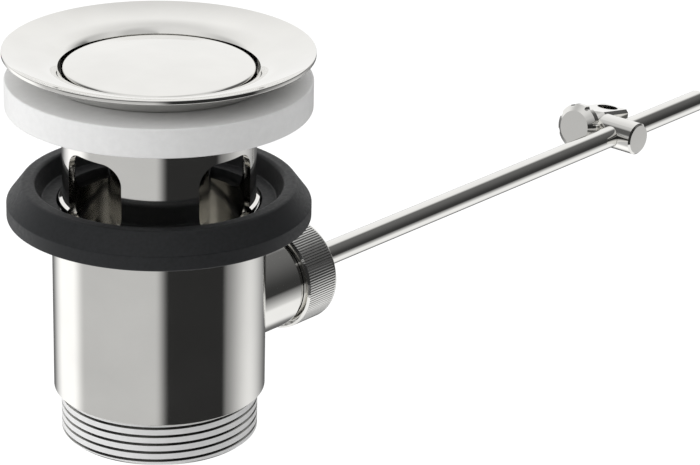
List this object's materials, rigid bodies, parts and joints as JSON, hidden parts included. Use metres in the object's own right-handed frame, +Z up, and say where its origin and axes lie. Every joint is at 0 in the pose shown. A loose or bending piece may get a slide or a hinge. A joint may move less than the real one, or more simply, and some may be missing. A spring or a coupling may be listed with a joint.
{
  "type": "pop up basin waste",
  "caption": "Chrome pop up basin waste with a slotted valve cup, plug, seals, tail body, ball-pivoted lever rod and a swivel clamp for the lift rod.",
  "frame": {"origin": "on the waste's vertical axis, in the plane where the seal under the flange rests on the basin", "axes": "+Z up along the waste's axis out of the drain, +X along the lever rod towards the lift rod's clamp, +Y to the lug's side of the clamp"},
  "size_m": [0.2318, 0.0646, 0.085],
  "materials": {
    "chrome": "bright chrome plate on brass",
    "pale_seal": "smooth off-white sealing ring",
    "black_rubber": "satin black rubber",
    "steel": "turned stainless steel",
    "seat_plastic": "white low-friction plastic"
  },
  "bodies": {
    "waste": {"valve_cup": "chrome", "flange_seal": "pale_seal", "basin_gasket": "black_rubber", "tail_body": "chrome", "tube_end_seal": "black_rubber", "ball_seat_inner": "seat_plastic", "ball_seat_outer": "seat_plastic", "seat_washer": "black_rubber"},
    "plug": {"plug_cap": "chrome", "plug_seal": "black_rubber", "plug_stem": "chrome", "plug_spindle": "steel", "spindle_nut": "steel"},
    "lever": {"lever_rod": "chrome", "lever_ball": "chrome"},
    "nut": {"boss_nut": "chrome"},
    "clamp": {"clamp_barrel": "chrome", "pin_ring": "steel"},
    "lug": {"clamp_lug": "chrome"},
    "thumb_screw": {"lift_rod_screw": "chrome"}
  },
  "joints": [
    {"name": "lever_tilt", "type": "hinge", "parent": "waste", "child": "lever", "pos_m": [0.035, 0, -0.04941], "axis": [0, 1, 0], "range_deg": [0, 15]},
    {"name": "plug_lift", "type": "slide", "parent": "waste", "child": "plug", "axis": [0, 0, 1], "range_m": [0, 0.0098]},
    {"name": "nut_turn", "type": "hinge", "parent": "waste", "child": "nut", "pos_m": [0.04, 0, -0.04941], "axis": [1, 0, 0], "continuous": true},
    {"name": "clamp_slide", "type": "slide", "parent": "lever", "child": "clamp", "axis": [1, 0, 0], "range_m": [-0.1, 0.03]},
    {"name": "lug_swivel", "type": "hinge", "parent": "clamp", "child": "lug", "pos_m": [0.1644, 0, -0.04941], "axis": [0, 1, 0], "continuous": true},
    {"name": "thumb_screw_turn", "type": "hinge", "parent": "lug", "child": "thumb_screw", "pos_m": [0.1644, 0.0085, -0.04941], "axis": [0.9848, 0, -0.1736], "continuous": true}
  ],
  "couplings": [
    {"joint": "plug_lift", "follows": "lever_tilt", "m_per_rad": 0.0366}
  ]
}
